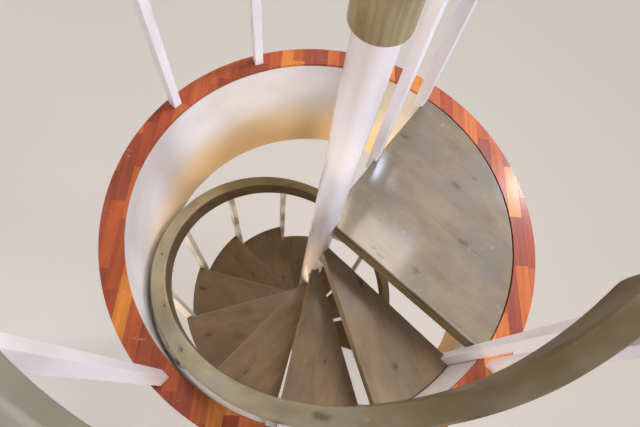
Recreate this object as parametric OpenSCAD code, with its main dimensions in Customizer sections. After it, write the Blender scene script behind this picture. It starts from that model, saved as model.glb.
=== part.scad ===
/* [Stair] */
// Height from the lower floor to the upper floor
floor_to_floor = 2990; // [2700:10:3200]
// Turn from one tread's front edge to the next, degrees
tread_pitch = 30.5; // [29:0.5:32]
// Outer radius of the treads and of the landing
tread_radius = 645; // [560:5:800]
// Thickness of a tread
tread_thickness = 73; // [40:1:90]
// Distance of a tread's front edge from the radial line that it follows
front_offset = 2; // [0:0.5:6]
// Distance of a tread's rear edge from the radial line that it follows
rear_offset = 8; // [4:0.5:12]
// Turn between the front edge's radial line and the rear edge's, degrees
tread_span = 28.4; // [27:0.1:28.8]
// Width of the chamfer along the front edge of a tread and of the landing
nosing_chamfer = 4; // [1:0.5:8]

/* [Landing] */
// Turn of the landing from its front edge to its rear edge, degrees
landing_span = 93.7; // [85:0.1:105]
// Thickness of the landing
landing_thickness = 75; // [50:1:90]
// Depth of the groove's upper edge under the landing's top
groove_down = 13; // [8:1:25]
// Height of the groove along the landing's front face
groove_height = 7; // [3:1:12]
// Depth of the groove into the landing's front face
groove_depth = 6; // [2:1:12]

/* [Column] */
// Outer diameter of the steel tube
column_diameter = 88.9; // [76.1:0.1:96]
// Wall of the steel tube
column_wall = 4; // [2.5:0.5:8]
// Diameter of the turned wooden cap
cap_diameter = 112; // [110:1:140]
// Height of the cap's lower edge over the upper floor
cap_underside = 838; // [820:1:860]
// Height of the cap
cap_height = 165; // [140:1:200]
// Radius of the cap's rounded edges
cap_rounding = 6; // [3:1:7]
// Thickness of the wood over the tube's end
cap_crown = 25; // [15:1:40]

/* [Base plate] */
// Diameter of the base plate
plate_diameter = 300; // [280:5:400]
// Thickness of the base plate
plate_thickness = 12; // [8:1:20]
// Diameter of the circle through the bolt holes
bolt_circle = 240; // [220:1:250]
// Diameter of a bolt hole
bolt_hole = 14; // [10:1:18]
// Reach of a gusset from the tube's surface
gusset_reach = 50; // [30:1:55]
// Height of a gusset
gusset_height = 80; // [40:1:120]
// Thickness of a gusset
gusset_thickness = 8; // [5:1:12]

/* [Posts] */
// Width of a square post
post_width = 32; // [25:1:40]
// Width of the square corner post at the landing's outer corner
corner_post_width = 40; // [30:1:44]
// Width that the landing's posts overlap the landing's rear edge
post_lap = 8; // [2:1:15]
// Distance of the landing's inner post from the column's axis
inner_post_radius = 303; // [200:1:400]
// Distance of the corner post from the landing's outer edge
corner_post_inset = 25; // [25:1:60]
// Length of the landing's posts beside its rear face
post_drop = 75; // [40:1:75]

/* [Rails] */
// Width of a handrail
rail_width = 52; // [46:1:60]
// Height of a level handrail
rail_height = 90; // [60:1:110]
// Height of the stair rail, measured upright
stair_rail_height = 115; // [80:1:130]
// Rounding of a handrail's upper edges
rail_rounding = 7; // [3:1:12]
// Chamfer of a handrail's lower edges
rail_chamfer = 5; // [2:0.5:10]
// Width that a stair post laps under the stair rail
rail_lap = 15; // [8:1:20]
// Height of the stair rail's top over the landing, at its front edge
rail_rise_top = 725; // [700:1:900]
// Height of the stair rail's top over the lowest tread's front edge
rail_rise_foot = 912; // [800:1:950]
// Distance that the stair rail swings outwards near its upper end
rail_swing = 12; // [0:1:14]
// Length of the stair rail past its last posts, degrees
rail_overrun = 5; // [4.5:0.1:8]
// Height of the gallery rail's top over the upper floor
gallery_height = 955; // [900:1:1000]

/* [Well] */
// Gap between the treads and the well's lining
well_gap = 5; // [3:1:15]
// Thickness of the well's lining
lining_thickness = 75; // [65:1:120]
// Depth of the well from the upper floor to its lower edge
well_depth = 552; // [300:1:700]
// Thickness of the wooden floor edge on the lining
rim_thickness = 12; // [8:1:25]
// Distance of the gallery posts' centres from the well's edge
gallery_setback = 42; // [34:1:46]

/* [Brackets] */
// Length of a tread bracket from the column's axis
bracket_length = 430; // [300:5:520]
// Width of a bracket's flange under the wood
flange_width = 44; // [30:1:60]
// Thickness of a bracket's flange and of its web
bracket_plate = 6; // [4:0.5:10]
// Height of a bracket's web at the column
web_height = 62; // [40:1:80]
// Height of a bracket's web at its tip
web_tip = 14; // [8:1:30]
// Width of each leg of the steel angle that carries the landing's edge
ledger_leg = 45; // [30:1:60]

/* [Fits] */
// Clearance between pieces that are seated on each other
seat = 0.3; // [0.1:0.1:1]

/* [Hidden] */

// Treads between the lower floor and the landing
tread_count = 11;
riser = floor_to_floor / (tread_count + 1);
column_radius = column_diameter / 2;
cap_radius = cap_diameter / 2;
column_top = floor_to_floor + cap_underside + cap_height - cap_crown;
well_radius = tread_radius + well_gap;
ring_parts = 6;
ring_turn = 360 / ring_parts;

// The gallery posts stand in two groups, with none along the wall side
gallery_radius = well_radius + gallery_setback;
gallery_post_pitch = 30;
gallery_group_a = 153.5;
gallery_count_a = 2;
gallery_group_b = 268.5;
gallery_count_b = 4;
gallery_overrun = 2.5;
gallery_from = landing_span - gallery_overrun;
gallery_to = gallery_group_b + (gallery_count_b - 1) * gallery_post_pitch + gallery_overrun;
gallery_parts = 5;
gallery_turn = (gallery_to - gallery_from) / gallery_parts;
gallery_steps = 9;

// The stair rail is a helix over the line of the treads' front edges
rail_radius = tread_radius - post_width + rail_lap - rail_width / 2;
swing_from = -43;
swing_to = -13;
stair_turn = tread_pitch * tread_count;
stair_rail_from = -stair_turn - rail_overrun;
stair_rail_to = rail_overrun;
stair_parts = 6;
stair_part_turn = (stair_rail_to - stair_rail_from) / stair_parts;
stair_steps = 11;
nose_steps = 4;

gallery_underside = floor_to_floor + gallery_height - rail_height;
corner_post_radius = tread_radius - corner_post_inset;

// Two arms from the column and a steel angle on the lining carry the landing
landing_underside = floor_to_floor - landing_thickness;
bearer_turns = [15, 79];
ledger_inset = 5;

// Long enough to cut through any piece of this stair
far = 2 * tread_radius;
steel = "#e9e5e0";
paint = "#efeae4";
wood = "#8c8064";
plaster = "#efe9e1";
floor_wood = "#b5723f";

function ease(t) = let (c = min(1, max(0, t))) c * c * (3 - 2 * c);
function nosing(turn) = floor_to_floor + riser * turn / tread_pitch;
function rail_rise(turn) = rail_rise_top - (rail_rise_foot - rail_rise_top) * turn / stair_turn;
function rail_top(turn) = nosing(turn) + rail_rise(turn);
function rail_centre(turn) = rail_radius
    + rail_swing * ease((turn - swing_from) / (swing_to - swing_from));
function tread_top(k) = floor_to_floor - riser * k;

// A handrail's section, from its centre outwards and from its top downwards
function arc_points(cx, cy, r, from, to, n) =
    [for (i = [0:n]) let (t = from + (to - from) * i / n) [cx + r * cos(t), cy + r * sin(t)]];
function rail_section(height) = concat(
    arc_points(rail_width / 2 - rail_rounding, -rail_rounding, rail_rounding, 0, 90, 3),
    arc_points(rail_rounding - rail_width / 2, -rail_rounding, rail_rounding, 90, 180, 3),
    arc_points(rail_chamfer - rail_width / 2, rail_chamfer - height, rail_chamfer, 180, 270, 1),
    arc_points(rail_width / 2 - rail_chamfer, rail_chamfer - height, rail_chamfer, 270, 360, 1));

// One section of a curved handrail, shrunk by k about its own middle
function rail_ring(turn, radius, top, height, k) = [for (p = rail_section(height))
    let (r = radius + p[0] * k, z = top - height / 2 + (p[1] + height / 2) * k)
    [r * cos(turn), r * sin(turn), z]];
function nose_scale(t) = sqrt(max(0.04, 1 - t * t));

module sweep(rings) {
    n = len(rings[0]);
    m = len(rings);
    polyhedron(
        points = [for (r = rings) each r],
        faces = concat(
            [[for (i = [n - 1:-1:0]) i]],
            [[for (i = [0:n - 1]) (m - 1) * n + i]],
            [for (j = [0:m - 2], i = [0:n - 1])
                [j * n + i, j * n + (i + 1) % n, (j + 1) * n + (i + 1) % n]],
            [for (j = [0:m - 2], i = [0:n - 1])
                [j * n + i, (j + 1) * n + (i + 1) % n, (j + 1) * n + i]]));
}

// Turns of a rail's sections, with finer ones in a rounded nose at either end
nose_turn = asin(rail_width / 2 / rail_radius);
function nose_at(from, to, steps, first, last) = concat(
    first ? [for (i = [nose_steps:-1:1]) [from + nose_turn * (1 - sin(90 * i / nose_steps)),
        nose_scale(sin(90 * i / nose_steps))]] : [],
    let (a = first ? from + nose_turn : from, b = last ? to - nose_turn : to)
    [for (i = [0:steps]) [a + (b - a) * i / steps, 1]],
    last ? [for (i = [1:nose_steps]) [to - nose_turn * (1 - sin(90 * i / nose_steps)),
        nose_scale(sin(90 * i / nose_steps))]] : []);

module stair_rail(i) {
    color(wood)
    sweep([for (s = nose_at(stair_rail_from + stair_part_turn * (i - 1),
            stair_rail_from + stair_part_turn * i, stair_steps, i == 1, i == stair_parts))
        rail_ring(s[0], rail_centre(s[0]), rail_top(s[0]), stair_rail_height, s[1])]);
}

module gallery_rail(i) {
    color(wood)
    sweep([for (s = nose_at(gallery_from + gallery_turn * (i - 1),
            gallery_from + gallery_turn * i, gallery_steps, i == 1, i == gallery_parts))
        rail_ring(s[0], gallery_radius, floor_to_floor + gallery_height, rail_height, s[1])]);
}

module base_plate() {
    color(steel)
    difference() {
        union() {
            cylinder(r = plate_diameter / 2, h = plate_thickness, $fn = 96);
            for (i = [0:3])
                rotate(90 * i)
                translate([0, gusset_thickness / 2, 0])
                rotate([90, 0, 0])
                linear_extrude(gusset_thickness)
                polygon([[0, 0],
                    [column_radius + gusset_reach, 0],
                    [column_radius + gusset_reach, plate_thickness + gusset_height / 8],
                    [column_radius + gusset_reach / 6, plate_thickness + gusset_height],
                    [0, plate_thickness + gusset_height]]);
        }
        translate([0, 0, plate_thickness])
        cylinder(r = column_radius, h = floor_to_floor, $fn = 96);
        for (i = [0:3])
            rotate(45 + 90 * i)
            translate([bolt_circle / 2, 0, -1])
            cylinder(r = bolt_hole / 2, h = plate_thickness + 2, $fn = 32);
    }
}

module column() {
    color(steel)
    translate([0, 0, plate_thickness])
    difference() {
        cylinder(r = column_radius, h = column_top - plate_thickness, $fn = 96);
        translate([0, 0, -1])
        cylinder(r = column_radius - column_wall, h = column_top + 2, $fn = 96);
    }
}

module column_cap() {
    color(wood)
    translate([0, 0, floor_to_floor + cap_underside])
    difference() {
        rotate_extrude($fn = 96)
        polygon(concat([[0, 0]],
            arc_points(cap_radius - cap_rounding, cap_rounding, cap_rounding, 270, 360, 6),
            arc_points(cap_radius - cap_rounding, cap_height - cap_rounding, cap_rounding, 0, 90, 6),
            [[0, cap_height]]));
        translate([0, 0, -1])
        cylinder(r = column_radius + seat, h = 1 + cap_height - cap_crown + seat, $fn = 96);
    }
}

// The room that the post of tread k takes, from its foot to the rail
module post_slot(k) {
    rotate(-tread_pitch * k)
    translate([tread_radius - post_width - seat, -front_offset - post_width - 2 * seat, 0])
    cube([2 * post_width, post_width + 2 * seat, far + floor_to_floor]);
}

// The wood that the chamfer takes off the front edge of a piece this thick
module front_arris(thickness) {
    rotate([90, 0, 90])
    linear_extrude(far)
    polygon([[-front_offset - 1, thickness - nosing_chamfer - 1],
        [-front_offset + nosing_chamfer + 1, thickness + 1],
        [-front_offset - 1, thickness + 1]]);
}

module tread(k) {
    color(wood)
    difference() {
        rotate(-tread_pitch * k)
        translate([0, 0, tread_top(k) - tread_thickness])
        difference() {
            intersection() {
                cylinder(r = tread_radius, h = tread_thickness, $fn = 180);
                linear_extrude(tread_thickness)
                polygon([[0, -front_offset],
                    [far, -front_offset],
                    [far * cos(tread_span) - rear_offset * sin(tread_span),
                        far * sin(tread_span) + rear_offset * cos(tread_span)],
                    [-rear_offset * sin(tread_span), rear_offset * cos(tread_span)]]);
            }
            translate([0, 0, -1])
            cylinder(r = column_radius + seat, h = tread_thickness + 2, $fn = 96);
            front_arris(tread_thickness);
        }
        post_slot(k - 1);
    }
}

// A steel arm under the wood: a flange with a tapered web, welded to the column
module bracket(length, top) {
    translate([0, 0, top])
    difference() {
        union() {
            translate([0, -flange_width / 2, -bracket_plate])
            cube([length, flange_width, bracket_plate]);
            translate([0, bracket_plate / 2, -bracket_plate])
            rotate([90, 0, 0])
            linear_extrude(bracket_plate)
            polygon([[0, 0], [length - flange_width, 0],
                [length - flange_width, -web_tip],
                [column_radius, -web_height], [0, -web_height]]);
        }
        translate([0, 0, -far])
        cylinder(r = column_radius, h = 2 * far, $fn = 96);
    }
}

module tread_brackets() {
    color(steel)
    for (k = [1:tread_count])
        rotate(-tread_pitch * k + tread_span / 2)
        bracket(bracket_length, tread_top(k) - tread_thickness);
}

module landing() {
    color(wood)
    translate([0, 0, floor_to_floor - landing_thickness])
    difference() {
        intersection() {
            cylinder(r = tread_radius, h = landing_thickness, $fn = 180);
            linear_extrude(landing_thickness)
            polygon([[0, -front_offset], [far, -front_offset], [far, far],
                [far * cos(landing_span), far * sin(landing_span)], [0, 0]]);
        }
        translate([0, 0, -1])
        cylinder(r = column_radius + seat, h = landing_thickness + 2, $fn = 96);
        translate([0, -front_offset - 1, landing_thickness - groove_down - groove_height])
        cube([far, groove_depth + 1, groove_height]);
        front_arris(landing_thickness);
    }
}

module landing_bearers() {
    color(steel)
    for (turn = bearer_turns)
        rotate(turn)
        bracket(well_radius - ledger_leg, landing_underside);
}

module landing_ledger() {
    color(steel)
    rotate(ledger_inset)
    rotate_extrude(angle = landing_span - 2 * ledger_inset, $fn = 180)
    polygon([[well_radius, landing_underside],
        [well_radius - ledger_leg, landing_underside],
        [well_radius - ledger_leg, landing_underside - bracket_plate],
        [well_radius - bracket_plate, landing_underside - bracket_plate],
        [well_radius - bracket_plate, landing_underside - ledger_leg],
        [well_radius, landing_underside - ledger_leg]]);
}

// A post behind the landing's rear face, rebated so that it stands on the landing's edge
module landing_post(radius, width) {
    head = gallery_underside - floor_to_floor - seat;
    rotate(landing_span)
    translate([radius - width / 2, 0, floor_to_floor])
    rotate([90, 0, 90])
    linear_extrude(width)
    polygon([[seat, -post_drop],
        [width - post_lap, -post_drop],
        [width - post_lap, head],
        [-post_lap, head],
        [-post_lap, seat],
        [seat, seat]]);
}

module landing_posts() {
    color(paint) {
        landing_post(inner_post_radius, post_width);
        landing_post(corner_post_radius, corner_post_width);
    }
}

module landing_rail() {
    color(wood)
    rotate(landing_span)
    difference() {
        translate([0, post_width / 2 - post_lap, floor_to_floor + gallery_height])
        rotate([90, 0, 90])
        linear_extrude(gallery_radius - rail_width / 2 - seat)
        polygon(rail_section(rail_height));
        translate([0, 0, floor_to_floor])
        cylinder(r = cap_radius + seat, h = 2 * gallery_height, $fn = 96);
    }
}

module well_ring(i) {
    color(plaster)
    rotate(ring_turn * (i - 1))
    rotate_extrude(angle = ring_turn, $fn = 180)
    translate([well_radius, floor_to_floor - well_depth])
    square([lining_thickness, well_depth - rim_thickness]);
}

module floor_rim() {
    color(floor_wood)
    translate([0, 0, floor_to_floor - rim_thickness])
    difference() {
        cylinder(r = well_radius + lining_thickness, h = rim_thickness, $fn = 180);
        translate([0, 0, -1])
        cylinder(r = well_radius, h = rim_thickness + 2, $fn = 180);
    }
}

module gallery_post(turn) {
    rotate(turn)
    translate([gallery_radius - post_width / 2, -post_width / 2, floor_to_floor])
    cube([post_width, post_width, gallery_underside - floor_to_floor - seat]);
}

module gallery_posts() {
    color(paint) {
        for (i = [0:gallery_count_a - 1])
            gallery_post(gallery_group_a + gallery_post_pitch * i);
        for (i = [0:gallery_count_b - 1])
            gallery_post(gallery_group_b + gallery_post_pitch * i);
    }
}

// A post in front of a tread's front edge, from under the tread below up to the sloping rail
module stair_post(k) {
    y1 = -front_offset - seat - post_width;
    y2 = -front_offset - seat;
    foot = k == tread_count ? 0 : tread_top(k + 1) - tread_thickness;
    turn = -tread_pitch * k;
    head1 = rail_top(turn + atan2(y1, tread_radius)) - stair_rail_height - seat;
    head2 = rail_top(turn + atan2(y2, tread_radius)) - stair_rail_height - seat;
    rotate(turn)
    translate([tread_radius - post_width, 0, 0])
    rotate([90, 0, 90])
    linear_extrude(post_width)
    polygon([[y1, foot], [y2, foot], [y2, head2], [y1, head1]]);
}

module stair_posts() {
    color(paint)
    for (k = [0:tread_count])
        stair_post(k);
}

base_plate();
column();
column_cap();
tread(1);  // tread_01
tread(2);  // tread_02
tread(3);  // tread_03
tread(4);  // tread_04
tread(5);  // tread_05
tread(6);  // tread_06
tread(7);  // tread_07
tread(8);  // tread_08
tread(9);  // tread_09
tread(10);  // tread_10
tread(11);  // tread_11
tread_brackets();
landing();
landing_bearers();
landing_ledger();
landing_posts();
landing_rail();
well_ring(1);  // well_ring_1
well_ring(2);  // well_ring_2
well_ring(3);  // well_ring_3
well_ring(4);  // well_ring_4
well_ring(5);  // well_ring_5
well_ring(6);  // well_ring_6
floor_rim();
gallery_posts();
gallery_rail(1);  // gallery_rail_1
gallery_rail(2);  // gallery_rail_2
gallery_rail(3);  // gallery_rail_3
gallery_rail(4);  // gallery_rail_4
gallery_rail(5);  // gallery_rail_5
stair_posts();
stair_rail(1);  // stair_rail_1
stair_rail(2);  // stair_rail_2
stair_rail(3);  // stair_rail_3
stair_rail(4);  // stair_rail_4
stair_rail(5);  // stair_rail_5
stair_rail(6);  // stair_rail_6
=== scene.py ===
# Spiral stair in a round well: wedge treads, a quarter landing, a helical handrail and a gallery guard
import random
from math import asin, atan2, cos, degrees, hypot, pi, radians, sin, sqrt

import bmesh
import bpy
from mathutils import Matrix, Vector


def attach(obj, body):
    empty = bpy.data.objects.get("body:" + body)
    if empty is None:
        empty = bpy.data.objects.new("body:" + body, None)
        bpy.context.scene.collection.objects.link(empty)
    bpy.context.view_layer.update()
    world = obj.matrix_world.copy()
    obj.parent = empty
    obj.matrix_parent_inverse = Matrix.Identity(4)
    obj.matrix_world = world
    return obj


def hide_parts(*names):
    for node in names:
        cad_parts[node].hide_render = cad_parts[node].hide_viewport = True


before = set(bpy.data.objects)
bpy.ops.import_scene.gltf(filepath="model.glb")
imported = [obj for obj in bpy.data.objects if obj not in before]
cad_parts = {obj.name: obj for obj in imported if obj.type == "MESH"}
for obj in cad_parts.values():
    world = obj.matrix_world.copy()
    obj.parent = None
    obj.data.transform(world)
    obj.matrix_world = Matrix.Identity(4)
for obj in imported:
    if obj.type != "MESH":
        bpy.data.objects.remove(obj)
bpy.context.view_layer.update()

# Sizes of the stair, metres and degrees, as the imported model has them
FLOOR = 2.990
TREADS = 11
PITCH = 30.5
RISER = FLOOR / (TREADS + 1)
TREAD_RADIUS = 0.645
TREAD_THICKNESS = 0.073
LANDING_SPAN = 93.7
COLUMN_RADIUS = 0.04445
CAP_RADIUS = 0.056
CAP_UNDERSIDE = FLOOR + 0.838
CAP_HEIGHT = 0.165
CAP_ROUNDING = 0.006
CAP_CROWN = 0.025
PLATE_THICKNESS = 0.012
WELL_RADIUS = 0.650
LINING = 0.075
RIM_THICKNESS = 0.012
WELL_DEPTH = 0.552
WELL_RINGS = 6
POST_WIDTH = 0.032
SEAT = 0.0003
FRONT_OFFSET = 0.002
RAIL_WIDTH = 0.052
RAIL_HEIGHT = 0.090
STAIR_RAIL_HEIGHT = 0.115
RAIL_ROUNDING = 0.007
RAIL_LOWER_ROUNDING = 0.005
RAIL_RADIUS = TREAD_RADIUS - POST_WIDTH + 0.015 - RAIL_WIDTH / 2
RAIL_OVERRUN = 5
STAIR_RAIL_LENGTHS = 6
RAIL_RISE_TOP = 0.725
RAIL_RISE_FOOT = 0.912
RAIL_SWING = 0.012
SWING_FROM, SWING_TO = -43, -13
GALLERY_RADIUS = WELL_RADIUS + 0.042
GALLERY_TOP = FLOOR + 0.955
GALLERY_FROM, GALLERY_TO = LANDING_SPAN - 2.5, 361
GALLERY_RAIL_LENGTHS = 5

# The photograph's viewpoint
VIEWPOINT = (0.2576, -0.5134, 4.3491)
VIEW_TURN = (22.6227, -5.3004, 41.3911)
LENS = 24.678


def tone(red, green, blue):
    """A colour seen as 0 to 255 per channel, made linear for the shaders."""
    channels = [value / 255 for value in (red, green, blue)]
    return tuple(((c + 0.055) / 1.055) ** 2.4 if c > 0.04045 else c / 12.92 for c in channels) + (1,)


# Node helpers

def put(tree, kind, inputs=(), **settings):
    """Adds a shader node, sets it, and feeds its inputs from values or other nodes' sockets."""
    node = tree.nodes.new("ShaderNode" + kind)
    for name, value in settings.items():
        setattr(node, name, value)
    for name, value in dict(inputs).items():
        if isinstance(value, bpy.types.NodeSocket):
            tree.links.new(value, node.inputs[name])
        else:
            node.inputs[name].default_value = value
    return node


def calc(tree, operation, a, b=0.0, c=0.0):
    return put(tree, "Math", {0: a, 1: b, 2: c}, operation=operation).outputs[0]


def scaled(tree, vector, sizes):
    return put(tree, "VectorMath", {0: vector, 1: sizes}, operation="MULTIPLY").outputs[0]


def noise(tree, vector, scale=1.0, detail=2.0, roughness=0.5):
    node = put(tree, "TexNoise", {"Vector": vector, "Scale": scale, "Detail": detail, "Roughness": roughness})
    return node.outputs["Fac"]


def fade(tree, value, start, end, low=0.0, high=1.0):
    """A smooth step of the value from low at start to high at end."""
    node = put(tree, "MapRange", {"Value": value, "From Min": start, "From Max": end,
                                  "To Min": low, "To Max": high}, interpolation_type="SMOOTHSTEP")
    return node.outputs[0]


def blend(tree, amount, first, second, mode="MIX"):
    node = put(tree, "Mix", {0: amount, 6: first, 7: second}, data_type="RGBA", blend_type=mode)
    return node.outputs[2]


def relief(tree, height, strength, distance):
    return put(tree, "Bump", {"Height": height, "Strength": strength, "Distance": distance}).outputs[0]


def finish(name, **constants):
    """A material with its shader, whose even values are set on the shader's own sockets."""
    material = bpy.data.materials.new(name)
    material.use_nodes = True
    tree = material.node_tree
    shader = tree.nodes["Principled BSDF"]
    for socket, value in constants.items():
        shader.inputs[socket.replace("_", " ")].default_value = value
    return material, tree, shader


def feed(tree, inputs, **sockets):
    for name, socket in sockets.items():
        tree.links.new(socket, inputs[name.replace("_", " ")])


def effect(name, inputs, outputs):
    """A node group with named inputs and outputs, each given with its kind of socket."""
    group = bpy.data.node_groups.new(name, "ShaderNodeTree")
    for label, kind in inputs.items():
        group.interface.new_socket(label, in_out="INPUT", socket_type="NodeSocket" + kind)
    for label, kind in outputs.items():
        group.interface.new_socket(label, in_out="OUTPUT", socket_type="NodeSocket" + kind)
    return group, group.nodes.new("NodeGroupInput").outputs, group.nodes.new("NodeGroupOutput").inputs


def use(tree, group, **inputs):
    node = tree.nodes.new("ShaderNodeGroup")
    node.node_tree = group
    for name, value in inputs.items():
        socket = node.inputs[name.replace("_", " ")]
        if isinstance(value, bpy.types.NodeSocket):
            tree.links.new(value, socket)
        else:
            socket.default_value = value
    return node.outputs


# Shared effects

def make_pine_grain():
    """Grain of a pine board: place runs along, across and through the board, in metres."""
    group, given, result = effect("pine_grain", {"Place": "Vector", "Board": "Float"},
                                  {"Streaks": "Float", "Lines": "Float", "Clouds": "Float", "Stain": "Float",
                                   "Rings": "Float", "Knots": "Float", "Halo": "Float", "Height": "Float"})
    shift = put(group, "VectorMath", {0: (13.1, 7.7, 3.3), "Scale": given["Board"]},
                operation="SCALE").outputs[0]
    place = put(group, "VectorMath", {0: given["Place"], 1: shift}, operation="ADD").outputs[0]
    wander = calc(group, "SUBTRACT", noise(group, scaled(group, place, (1.6, 6, 6)), detail=1), 0.5)
    bend = put(group, "CombineXYZ", {"Y": calc(group, "MULTIPLY", wander, 0.05),
                                     "Z": calc(group, "MULTIPLY", wander, 0.02)}).outputs[0]
    bent = put(group, "VectorMath", {0: place, 1: bend}, operation="ADD").outputs[0]
    streaks = noise(group, scaled(group, bent, (4, 60, 60)), detail=3, roughness=0.6)
    lines = noise(group, scaled(group, bent, (8, 260, 260)), detail=2)
    clouds = noise(group, scaled(group, place, (7, 15, 15)), detail=4, roughness=0.6)
    stain = noise(group, scaled(group, given["Place"], (4.5, 6, 6)), detail=3, roughness=0.55)
    rings = put(group, "TexWave", {"Vector": scaled(group, bent, (0.12, 1, 1)), "Scale": 22, "Distortion": 7,
                                   "Detail": 2, "Detail Scale": 0.6}, bands_direction="Y").outputs["Fac"]
    cells = put(group, "TexVoronoi", {"Vector": scaled(group, place, (3.2, 8, 1)), "Scale": 1.0,
                                      "Randomness": 0.9}, voronoi_dimensions="2D")
    chance = put(group, "SeparateXYZ", {0: cells.outputs["Color"]}).outputs[0]
    chosen = fade(group, chance, 0.66, 0.70)
    ragged = calc(group, "MULTIPLY_ADD", noise(group, scaled(group, place, (45, 90, 60)), detail=2), 0.07,
                  calc(group, "SUBTRACT", cells.outputs["Distance"], 0.035))
    knots = calc(group, "MULTIPLY", fade(group, ragged, 0.085, 0.015), chosen)
    halo = calc(group, "MULTIPLY", fade(group, ragged, 0.24, 0.05), chosen)
    height = calc(group, "MULTIPLY_ADD", lines, 0.4, calc(group, "MULTIPLY", streaks, 0.5))
    feed(group, result, Streaks=streaks, Lines=lines, Clouds=clouds, Stain=stain, Rings=rings, Knots=knots,
         Halo=halo, Height=height)
    return group


def make_spot():
    """A single knot at a given place: its dark heart, its halo and the crack that follows the grain."""
    group, given, result = effect("single_knot", {"Place": "Vector", "Centre": "Vector", "Size": "Float"},
                                  {"Heart": "Float", "Halo": "Float", "Crack": "Float"})
    away = put(group, "VectorMath", {0: given["Place"], 1: given["Centre"]}, operation="SUBTRACT").outputs[0]
    flat = scaled(group, away, (0.5, 1.0, 1.0))
    reach = put(group, "VectorMath", {0: flat}, operation="LENGTH").outputs["Value"]
    rough = noise(group, scaled(group, given["Place"], (50, 110, 70)), detail=3)
    reach = calc(group, "MULTIPLY_ADD", rough, 0.020, calc(group, "SUBTRACT", reach, 0.010))
    share = calc(group, "DIVIDE", reach, given["Size"])
    parts = put(group, "SeparateXYZ", {0: away}).outputs
    drift = noise(group, scaled(group, given["Place"], (16, 2, 2)), detail=2)
    sway = calc(group, "MULTIPLY_ADD", drift, 0.030, -0.015)
    beside = calc(group, "ABSOLUTE", calc(group, "ADD", parts[1], sway))
    along = calc(group, "DIVIDE", calc(group, "ABSOLUTE", parts[0]), given["Size"])
    thin = calc(group, "MULTIPLY", fade(group, beside, 0.0028, 0.0006), fade(group, along, 17, 3))
    feed(group, result, Heart=fade(group, share, 1.30, 0.30), Halo=fade(group, share, 3.6, 0.7), Crack=thin)
    return group


def make_scratches():
    """Fine scratches: short pieces of a net of thin lines, only where the surface has been rubbed."""
    group, given, result = effect("scratches", {"Place": "Vector", "Density": "Float"}, {"Marks": "Float"})
    crooked = noise(group, scaled(group, given["Place"], (6, 6, 6)), detail=2)
    pushed = put(group, "VectorMath", {0: given["Place"], 1: (0.12, 0.09, 0.05), 2: crooked},
                 operation="MULTIPLY_ADD").outputs[0]
    net = put(group, "TexVoronoi", {"Vector": scaled(group, pushed, (13, 22, 17)), "Scale": 1.0},
              feature="DISTANCE_TO_EDGE").outputs["Distance"]
    broken = noise(group, scaled(group, given["Place"], (31, 31, 31)), detail=1)
    rubbed = noise(group, scaled(group, given["Place"], (5, 5, 5)), detail=2)
    marks = calc(group, "MULTIPLY", fade(group, net, 0.030, 0.006), fade(group, broken, 0.52, 0.60))
    start = calc(group, "SUBTRACT", 0.75, calc(group, "MULTIPLY", given["Density"], 0.4))
    marks = calc(group, "MULTIPLY", marks, fade(group, rubbed, start, calc(group, "ADD", start, 0.08)))
    feed(group, result, Marks=marks)
    return group


PINE_GRAIN = make_pine_grain()
SPOT = make_spot()
SCRATCHES = make_scratches()


# Finishes
# Colour by which a painted shade darkens the wood lower down, where less light falls
LOW_SHADE = (0.68, 0.57, 0.40, 1)


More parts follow.
